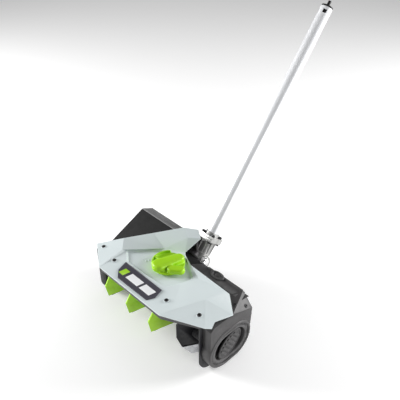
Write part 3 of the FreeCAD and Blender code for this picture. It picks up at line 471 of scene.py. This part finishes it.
def cover_shape():
    """Corners and faces of the cover's upper skin, with the pocket that the knob stands in."""
    names = list(COVER)
    corners = [Vector(COVER[name]) for name in names]
    index = {name: i for i, name in enumerate(names)}
    faces = [[index[name] for name in face] for face in COVER_FACES]
    rim = [index[f"rim_{i}"] for i in range(1, 9)]
    middle = sum((corners[i] for i in rim), Vector()) / 8
    floor = []
    for i in rim:
        inward = middle - corners[i]
        inward.z = 0
        point = corners[i] + inward.normalized() * POCKET_SLOPE
        floor.append(len(corners))
        corners.append(Vector((point.x, point.y, POCKET_FLOOR)))
    for i in range(8):
        j = (i + 1) % 8
        faces.append([rim[i], rim[j], floor[j], floor[i]])
    faces.append(floor)
    return corners, faces


def height_over(shape, x, y):
    """The point of a shape's upper side at x and y, and its normal, turned upwards."""
    tree = BVHTree.FromPolygons(*shape)
    place, normal, _, _ = tree.ray_cast(Vector((x, y, ABOVE_ALL)), Vector((0, 0, -1)))
    return place, normal if normal.z > 0 else -normal


def cover_height(x, y):
    return height_over(cover_shape(), x, y)


def shoulder_shape():
    """The sloping skin between the pale cover and the round side cover."""
    corners = [Vector(c) for c in [
        (157, -3.4, 138.6), (181.6, -5.4, 113.4), (183.2, -60, 133.6), (186, -66, 134.2),
        (150, -34, 137.6), (148, -26, 138.4)]]
    return corners, [[0, 1, 2], [0, 2, 4, 5], [4, 2, 3]]


class SHOVEL_OT_cover(bpy.types.Operator):
    """Build the pale cover with its raised hood, pocket, step and end facets"""

    bl_idname = "shovel.cover"
    bl_label = "Pale Cover"

    def execute(self, context):
        sizes = context.scene.shovel_sizes
        corners, faces = cover_shape()
        cover = make_piece("pale_cover", corners, faces, "pale",
                           replaces=["top_cover"])
        cover.modifiers.clear()
        wall = cover.modifiers.new("Wall", "SOLIDIFY")
        wall.thickness = sizes.cover_thickness
        wall.offset = -1
        smooth_piece(cover, sizes.cover_rounding, 4, 7)
        marks = []
        for x, y in [(-38, -72), (-41, -78), (-44, -84)]:
            ring = [Vector((x + dx, y + dy, POCKET_FLOOR + 0.1)) for dx, dy in
                    [(-5, -1.2), (0, 0.6), (5, -1.2), (5, 0.4), (0, 2.2), (-5, 0.4)]]
            marks.append(loft([ring, [p + Vector((0, 0, 0.7)) for p in ring]]))
        corners, faces = joined(*marks)
        make_piece("pocket_marks", corners, faces, "pale", 0.0002)
        return {"FINISHED"}


# ---------------------------------------------------------------- badge

class SHOVEL_OT_badge(bpy.types.Operator):
    """Build the dark six-sided plate on the cover, with plain bars"""

    bl_idname = "shovel.badge"
    bl_label = "Badge Plate"

    def execute(self, context):
        outline = [(-64, -118), (50, -119), (55, -141), (47, -156), (-41, -157), (-58, -142)]
        middle = Vector((-2, -138))

        def ring(share, lift):
            points = []
            for x, y in outline:
                flat = middle + (Vector((x, y)) - middle) * share
                place, _ = cover_height(flat.x, flat.y)
                points.append(Vector((flat.x, flat.y, place.z + lift)))
            return points

        profile = [(1, -0.3), (1, 1.1), (0.985, 1.5), (0.95, 1.5), (0.94, 1.2)]
        corners, faces = loft([ring(share, lift) for share, lift in profile])
        make_piece("badge_face_plate", corners, faces, "badge", 0.0003,
                   replaces=["badge_plate"])
        for name, finish, spans in [("badge_green_bar", "knob", [(-52, -38)]),
                                    ("badge_light_bars", "bar", [(-30, 6), (12, 42)])]:
            bars = []
            for start, end in spans:
                square = []
                for x, y in [(start, -146), (end, -146), (end + 4, -130), (start + 4, -130)]:
                    place, _ = cover_height(x, y)
                    square.append(Vector((x, y, place.z + 1.1)))
                bars.append(loft([square, [p + Vector((0, 0, 0.55)) for p in square]]))
            corners, faces = joined(*bars)
            make_piece(name, corners, faces, finish, 0.0004)
        return {"FINISHED"}


# ---------------------------------------------------------------- screws and bolts

class SHOVEL_OT_fasteners(bpy.types.Operator):
    """Build the screws and bolts with hexagon sockets"""

    bl_idname = "shovel.fasteners"
    bl_label = "Screws and Bolts"

    def execute(self, context):
        cover = []
        seats = []
        for x, y in COVER_SCREWS:
            place, upright = cover_height(x, y)
            cover.append(moved(socket_head(3.9, 2.2, 1.9), facing(upright, place - upright * 0.5)))
            seat = loft([circle(r, z, 24) for r, z in
                         [(5.6, -0.4), (5.6, 0.4), (5.0, 0.9), (4.3, 0.5), (4.2, -0.3)]])
            seats.append(moved(seat, facing(upright, place)))
        corners, faces = joined(*cover)
        make_piece("cover_cap_screws", corners, faces, "oxide",
                   replaces=["cover_screws"])
        corners, faces = joined(*seats)
        make_piece("cover_screw_seats", corners, faces, "pale")

        side = []
        for x, y in [(170, -41), (178, -17.5)]:
            place, upright = height_over(shoulder_shape(), x, y)
            side.append(moved(socket_head(3.8, 2.4, 1.8), facing(upright, place - upright * 0.6)))
        corners, faces = joined(*side)
        make_piece("side_cap_screws", corners, faces, "oxide",
                   replaces=["side_cover_screws"])

        flange = []
        stem = loft([circle(2.5, 49.0, 16), circle(2.5, 62.5, 16)])
        nut = loft([hexagon(4.9, 46.2), hexagon(4.9, 49.9)])
        for x in (-14, 14):
            for y in (-13.5, 13.5):
                flange.append(moved(socket_head(4.3, 5.0, 2.1), along_pole(61.9, x, y)))
                flange.append(moved(stem, along_pole(0, x, y)))
                flange.append(moved(nut, along_pole(0, x, y)))
        corners, faces = joined(*flange)
        make_piece("flange_cap_screws", corners, faces, "oxide", 0.0003,
                   replaces=["flange_bolts"])

        mount = [moved(socket_head(4.2, 4.2, 2.1), facing((0, 1, 0), Vector((x, 3.4, z))))
                 for x in (-20, 20) for z in (82, 114)]
        corners, faces = joined(*mount)
        make_piece("mount_cap_screws", corners, faces, "oxide",
                   replaces=["gearbox_bolts"])
        return {"FINISHED"}


# ---------------------------------------------------------------- knob

def capsule(start, end, low, high, start_radius, end_radius):
    """A rounded finger between two plan points, flat underneath and crowned on top."""
    start, end = Vector(start), Vector(end)
    side = (end - start).normalized()
    across = Vector((-side.y, side.x))
    profile = [(0.86, low), (1.0, low + 2), (1.0, high - 6), (0.93, high - 2.6), (0.76, high - 0.7),
               (0.45, high)]
    rings = []
    for share, height in profile:
        points = []
        for i in range(32):
            a = 2 * math.pi * i / 32
            centre, radius = (end, end_radius) if math.cos(a) > 0 else (start, start_radius)
            flat = centre + (side * math.cos(a) + across * math.sin(a)) * radius * share
            points.append(Vector((flat.x, flat.y, height)))
        rings.append(points)
    return loft(rings)


def rim_wall(inner, outer, start, end, low, high, count=24):
    """A curved wall round part of a circle, between two angles in degrees."""
    rings = []
    for i in range(count + 1):
        a = math.radians(start + (end - start) * i / count)
        out = Vector((math.cos(a), math.sin(a), 0))
        rings.append([out * inner + Vector((0, 0, low)), out * outer + Vector((0, 0, low)),
                      out * outer + Vector((0, 0, high)), out * inner + Vector((0, 0, high))])
    return loft(rings)


class SHOVEL_OT_knob(bpy.types.Operator):
    """Build the green direction knob, a lobed grip blended from rounded fingers"""

    bl_idname = "shovel.knob"
    bl_label = "Direction Knob"

    def execute(self, context):
        sizes = context.scene.shovel_sizes
        base = loft([circle(r, z) for r, z in
                     [(30.5, 140.8), (31, 142.6), (34, 144.2), (34.4, 147.5), (33.4, 148.2)]])
        sink, overhang = 1.8, 3.5
        turn = (Matrix.Translation(KNOB_AXIS - Vector((0, 0, sink)))
                @ Matrix.Rotation(KNOB_TURN, 4, "Z") @ Matrix.Translation((0, -overhang, 0)))
        fingers = [
            capsule((-17, -11), (21, 7.5), 144, 160.5, 16, 11.5),
            capsule((7, -23.5), (25, -26), 146, 157.5, 9.5, 9.5),
            rim_wall(31.4, 34.6, 84, 216, 146, 154.5),
            slab([(-31, 14), (-17, 0), (-14, 4), (-28, 18)], "Z", 146, 155),
        ]
        corners, faces = joined(*[moved(shape, turn) for shape in [base, *fingers]])
        knob = make_piece("lobed_knob", corners, faces, "knob", body="knob",
                          replaces=["direction_knob"])
        knob.modifiers.clear()
        blend = knob.modifiers.new("Blend", "REMESH")
        blend.mode = "VOXEL"
        blend.voxel_size = sizes.knob_voxel
        blend.use_smooth_shade = True
        soften = knob.modifiers.new("Soften", "SMOOTH")
        soften.factor = 0.6
        soften.iterations = 5
        return {"FINISHED"}


# ---------------------------------------------------------------- housing details

class SHOVEL_OT_housing(bpy.types.Operator):
    """Build the roof's skin and ribbed strip, the rear boss and ledge, and the shoulder's skin"""

    bl_idname = "shovel.housing"
    bl_label = "Housing Details"

    def execute(self, context):
        ribs = context.scene.shovel_sizes.roof_ribs
        start, end = Vector((ROOF_RIDGE[0] + 0.2, ROOF_RIDGE[1])), Vector(STRIP_BACK)
        normal = Vector((start.y - end.y, end.x - start.x)).normalized()
        profile = []
        for i in range(ribs):
            for share, lift in [(0.0, 0.5), (0.16, 1.5), (0.72, 1.5), (0.88, 0.5)]:
                profile.append(start + (end - start) * (i + share) / ribs + normal * lift)
        profile.append(end + normal * 0.5)
        under = [start - normal * 0.6, end - normal * 0.6]
        outline = profile + under[::-1]
        corners, faces = slab(outline, "X", ROOF_LEFT + 0.2, ROOF_RIGHT)
        # The strip's finish has light from above painted into its grey.
        make_piece("roof_ribbed_strip", corners, faces, "strip", 0.0003)

        slope = (Vector((0, *ROOF_RIDGE)) - Vector((0, *ROOF_FOOT))).normalized()
        lift = Vector((0, -slope.z, slope.y)) * 0.7
        skin = [Vector((ROOF_LEFT, *ROOF_FOOT)), Vector((-120, *ROOF_FOOT)), Vector((-40, *ROOF_RIDGE)),
                Vector((ROOF_LEFT, *ROOF_RIDGE))]
        corners, faces = loft([[p - lift for p in skin], [p + lift for p in skin]])
        make_piece("roof_skin", corners, faces, "roof", 0.0004)

        boss = loft([circle(r, z) for r, z in
                     [(9, 0), (9, 2.6), (8.2, 3.3), (6.3, 3.3), (5.8, 2.7), (5.6, 1.4), (3.6, 1.4),
                      (3.2, 2.9), (2.6, 3.1)]])
        lying = Matrix.Translation((93, -9.5, 138.4)) @ Matrix.Scale(1.9, 4, (1, 0, 0))
        corners, faces = moved(boss, lying)
        make_piece("rear_boss", corners, faces, "housing")

        ledge = [(-2.6, 136.6), (-2.6, 139.4), (-5.6, 140.6), (-9.5, 138.0), (-27.0, 138.0), (-27.0, 136.6)]
        corners, faces = slab(ledge, "X", 63, 157)
        make_piece("rear_ledge", corners, faces, "housing", 0.0006)

        corners, faces = shoulder_shape()
        shoulder = make_piece("side_shoulder_skin", corners, faces, "housing")
        wall = shoulder.modifiers.new("Wall", "SOLIDIFY")
        wall.thickness = 0.0015
        wall.offset = -1
        smooth_piece(shoulder, 0.0008, 3, 20)
        return {"FINISHED"}


# ---------------------------------------------------------------- round side cover

class SHOVEL_OT_side_cover(bpy.types.Operator):
    """Build the raised rim, the oval ribbed panel and the small holes of the round side cover"""

    bl_idname = "shovel.side_cover"
    bl_label = "Round Side Cover Details"

    def execute(self, context):
        count = context.scene.shovel_sizes.panel_ribs
        rim = [(46.4, 182.6), (45.8, 184.0), (44.6, 184.5), (41.8, 184.5), (41.0, 183.8), (40.4, 182.8)]
        face = [(40.6, 182.0), (40.2, 183.0), (31.4, 183.0), (30.4, 181.6), (29.4, 175.0)]
        corners, faces = joined(*[
            loft([stadium(radius, x) for radius, x in profile], False, False) for profile in (rim, face)])
        make_piece("side_cover_rims", corners, faces, "housing")

        tilt = Matrix.Translation((179.6, -63.5, 55)) @ Matrix.Rotation(math.radians(38), 4, "X")

        def oval(share, height):
            return [Vector((height, 35 * share * math.cos(a), 23 * share * math.sin(a)))
                    for a in (2 * math.pi * i / 40 for i in range(40))]

        panel = loft([oval(1.0, 0), oval(1.0, 2.2), oval(0.97, 3.0), oval(0.90, 3.0), oval(0.87, 2.0)])
        parts = [moved(panel, tilt)]
        for i in range(count):
            along = -22 + 44 * i / (count - 1)
            reach = 15.5 * math.sqrt(max(0.0, 1 - (along / 31) ** 2))
            square = [Vector((1.8, along - 2.2, -reach)), Vector((1.8, along + 2.2, -reach)),
                      Vector((1.8, along + 2.2, reach)), Vector((1.8, along - 2.2, reach))]
            parts.append(moved(loft([square, [p + Vector((2.0, 0, 0)) for p in square]]), tilt))
        corners, faces = joined(*parts)
        make_piece("side_cover_panel", corners, faces, "housing", 0.0006)

        dots = [moved(socket_head(3.0, 1.6, 1.4), facing((1, 0, 0), Vector((173.6, y, z))))
                for y, z in [(-100, 28), (-27, 82), (-98, 80), (-30, 30)]]
        corners, faces = joined(*dots)
        make_piece("side_cover_inner_screws", corners, faces, "oxide")
        return {"FINISHED"}


# ---------------------------------------------------------------- gearbox

class SHOVEL_OT_gearbox(bpy.types.Operator):
    """Build the gearbox's domed cap, neck ribs, black brackets and small screws, and a near-black sheet of
    painted shadow at its foot
    """

    bl_idname = "shovel.gearbox"
    bl_label = "Gearbox Details"

    def execute(self, context):
        profile = [(13.6, 0), (13.6, 2.2), (12.4, 3.2), (12.2, 4.2), (11.4, 7.0), (9.7, 9.6), (7.1, 11.4),
                   (3.8, 12.4), (1.0, 12.7)]
        dome = loft([circle(radius, height) for radius, height in profile])
        corners, faces = moved(dome, facing((1, 0, 0), Vector((12.5, 27.5, 103))))
        make_piece("gearbox_dome", corners, faces, "bright",
                   replaces=["gearbox_end_cap"])

        ribs = []
        for i in range(8):
            spin = Matrix.Rotation(math.radians(45 * i + 22.5), 4, "Z")
            rib = loft([
                [Vector((x, y, z)) for x, y in [(14.2, -1.1), (r, -0.8), (r, 0.8), (14.2, 1.1)]]
                for z, r in [(20, 15.2), (26, 16.4), (44, 17.2), (49.6, 18.6)]])
            ribs.append(moved(rib, along_pole(0) @ spin))
        hoop = [(15, 0), (16.2, 0.6), (16.2, 2.6), (15, 3.2)]
        rings = [loft([circle(r, low + z) for r, z in hoop]) for low in (19.0, 45.5)]
        ribs += [moved(ring, along_pole(0)) for ring in rings]
        corners, faces = joined(*ribs)
        make_piece("gearbox_neck_ribs", corners, faces, "cast", 0.0004)

        bracket = [(-15, 12), (-17, 46), (-14, 57), (-6, 57), (2, 47), (-2, 30), (-6, 12)]
        corners, faces = moved(slab(bracket, "X", -21.5, -17.5), along_pole(0))
        make_piece("gearbox_side_bracket", corners, faces, "roof", 0.0008)
        foot = [(-24, 120), (-24, 139.5), (14, 141.5), (27, 136), (31, 124), (27, 120)]
        corners, faces = slab(foot, "Y", -1.8, 2.2)
        make_piece("gearbox_foot_plate", corners, faces, "roof", 0.0008)
        # Painted shadow: a thin near-black sheet on the housing between the cover's back edge and the gearbox
        # foot, standing in for the shade that falls there.
        shadow_sheet_outline = [(-14, -26), (24, -27.4), (44, -3), (-20, -3)]
        corners, faces = slab(shadow_sheet_outline, "Z", 136.2, 137.5)
        make_piece("gearbox_foot_painted_shadow", corners, faces, "roof", 0.0005)

        lock = moved(socket_head(4.4, 3.4, 2.2), facing((0.86, -0.4, 0.3), Vector((12.6, 18.6, 112))))
        oil = moved(socket_head(3.6, 3.0, 1.8), facing((1, 0, 0), Vector((16.6, 12.5, 106))))
        corners, faces = joined(lock, oil)
        make_piece("gearbox_small_screws", corners, faces, "oxide")
        return {"FINISHED"}


# ---------------------------------------------------------------- finishes of the carried pieces

NODE_FINISHES = {
    "housing": "housing", "left_end_plate": "roof", "left_belt_cover": "roof",
    "right_end_plate": "end_paddle",
    "right_side_cover": "housing", "scraper_blade": "rubber", "scraper_bolts": "oxide",
    "auger_shaft": "steel", "auger_hub": "rubber", "end_paddle": "end_paddle", "end_paddle_tip": "band",
    "rear_end_paddle": "end_paddle", "rear_end_paddle_tip": "band", "auger_bearing_left": "steel",
    "auger_bearing_right": "steel", "bearing_carrier": "oxide", "carrier_bolts": "oxide",
    "auger_shaft_nut": "steel", "auger_belt_pulley": "cast", "drive_belt_pulley": "steel",
    "drive_belt": "rubber", "cross_shaft": "steel", "cross_shaft_bearing": "steel",
    "gearbox_bearing_left": "steel", "gearbox_bearing_right": "steel", "bevel_gear": "steel",
    "bevel_pinion": "steel", "pinion_bearing": "steel", "gearbox_body": "cast", "gearbox_bolts": "oxide",
    "gearbox_end_cap": "bright", "pole_clamp": "cast", "flange_bolts": "oxide", "pole_tube": "tube",
    "drive_shaft": "steel", "shaft_bushes": "rubber", "end_cap": "roof", "direction_knob": "knob",
    "knob_spindle": "steel", "spindle_bush": "rubber", "link_bar": "steel", "vane_left": "rubber",
    "vane_right": "rubber", "vane_pins": "steel", "top_cover": "pale", "badge_plate": "badge",
    "cover_screws": "oxide", "side_cover_screws": "oxide",
    **{f"paddle_{i}": "paddle" for i in range(1, 6)},
    **{f"paddle_strip_{i}": "rubber" for i in range(1, 6)},
}
ROUNDED_NODES = ["housing", "left_belt_cover", "right_side_cover", "right_end_plate", "left_end_plate",
                 "gearbox_body", "pole_clamp", "end_cap", "scraper_blade", "end_paddle", "end_paddle_tip",
                 "rear_end_paddle", "rear_end_paddle_tip", *[f"paddle_{i}" for i in range(1, 6)],
                 *[f"paddle_strip_{i}" for i in range(1, 6)]]


class SHOVEL_OT_carried_pieces(bpy.types.Operator):
    """Give every carried piece its finish, and round the edges of the moulded and cast ones"""

    bl_idname = "shovel.carried_pieces"
    bl_label = "Carried Pieces"

    def execute(self, context):
        sizes = context.scene.shovel_sizes
        for name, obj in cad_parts.items():
            obj.data.materials.clear()
            obj.data.materials.append(FINISHES[NODE_FINISHES[name]].material)
            if name not in ROUNDED_NODES:
                continue
            weld = obj.modifiers.new("Weld", "WELD")
            weld.merge_threshold = 1e-5
            flat = obj.modifiers.new("Flat Faces", "DECIMATE")
            flat.decimate_type = "DISSOLVE"
            flat.angle_limit = math.radians(0.5)
            smooth_piece(obj, sizes.moulded_rounding, 2, 32)
        return {"FINISHED"}


# ---------------------------------------------------------------- stage

class SHOVEL_OT_stage(bpy.types.Operator):
    """Build the pale floor, the soft lights and the camera"""

    bl_idname = "shovel.stage"
    bl_label = "Floor, Lights and Camera"

    def execute(self, context):
        scene = context.scene
        scene.view_settings.view_transform = "Standard"
        mesh = bpy.data.meshes.new("floor")
        reach, low = 30, -0.0004
        mesh.from_pydata([(x * reach, y * reach, low) for x, y in [(-1, -1), (1, -1), (1, 1), (-1, 1)]],
                         [], [(0, 1, 2, 3)])
        floor = bpy.data.objects.new("floor", mesh)
        scene.collection.objects.link(floor)
        paper = Finish("floor_paper", (0.93, 0.93, 0.93), 0.8).mottled(3, 0.004)
        paper.dull(0.1)
        paper.shader.inputs["Emission Color"].default_value = (1, 1, 1, 1)
        paper.shader.inputs["Emission Strength"].default_value = 0.2
        mesh.materials.append(paper.material)

        world = bpy.data.worlds.new("studio")
        scene.world = world
        world.use_nodes = True
        world.node_tree.nodes["Background"].inputs["Color"].default_value = (1, 1, 1, 1)
        world.node_tree.nodes["Background"].inputs["Strength"].default_value = 0.21

        aim = Vector((0, -0.06, 0.1))
        for name, at, size, power in [
            ("right_light", (1.15, 1.65, 0.8), 0.9, 46),
            ("side_light", (2.0, 0.0, 0.45), 0.8, 14),
            ("left_light", (-1.75, -1.15, 0.62), 0.9, 72),
            ("top_light", (0.1, 0.8, 1.9), 1.2, 3),
        ]:
            data = bpy.data.lights.new(name, "AREA")
            data.size = size
            data.energy = power
            light = bpy.data.objects.new(name, data)
            scene.collection.objects.link(light)
            light.location = at
            light.rotation_euler = (aim - Vector(at)).to_track_quat("-Z", "Y").to_euler()

        data = bpy.data.cameras.new("camera")
        data.lens = 50
        data.sensor_width = 36
        camera = bpy.data.objects.new("camera", data)
        scene.collection.objects.link(camera)
        camera.location = (0.662, -0.6095, 0.900)
        camera.rotation_euler = (math.radians(55.1), 0, math.radians(45.9))
        scene.camera = camera
        return {"FINISHED"}


# ---------------------------------------------------------------- panel and registration

OPERATORS = [
    SHOVEL_OT_stage, SHOVEL_OT_cover, SHOVEL_OT_badge, SHOVEL_OT_fasteners, SHOVEL_OT_knob,
    SHOVEL_OT_housing, SHOVEL_OT_side_cover, SHOVEL_OT_gearbox, SHOVEL_OT_carried_pieces,
]


class SHOVEL_PT_panel(bpy.types.Panel):
    """Sizes, colours and build steps of the shovel"""

    bl_idname = "SHOVEL_PT_panel"
    bl_label = "Snow Shovel Head"
    bl_space_type = "VIEW_3D"
    bl_region_type = "UI"
    bl_category = "Shovel"

    def draw(self, context):
        layout = self.layout
        for group in (context.scene.shovel_sizes, context.scene.shovel_colours):
            for name in group.__annotations__:
                layout.prop(group, name)
        for operator in OPERATORS:
            layout.operator(operator.bl_idname)


CLASSES = [ShovelSizes, ShovelColours, *OPERATORS, SHOVEL_PT_panel]


def register():
    for cls in CLASSES:
        bpy.utils.register_class(cls)
    bpy.types.Scene.shovel_sizes = PointerProperty(type=ShovelSizes)
    bpy.types.Scene.shovel_colours = PointerProperty(type=ShovelColours)


def unregister():
    del bpy.types.Scene.shovel_colours
    del bpy.types.Scene.shovel_sizes
    for cls in reversed(CLASSES):
        bpy.utils.unregister_class(cls)


def main():
    register()
    FINISHES.update(make_finishes(bpy.context.scene.shovel_colours))
    bpy.ops.shovel.stage()
    bpy.ops.shovel.cover()
    bpy.ops.shovel.badge()
    bpy.ops.shovel.fasteners()
    bpy.ops.shovel.knob()
    bpy.ops.shovel.housing()
    bpy.ops.shovel.side_cover()
    bpy.ops.shovel.gearbox()
    bpy.ops.shovel.carried_pieces()
    bpy.context.view_layer.update()


if __name__ == "__main__":
    main()
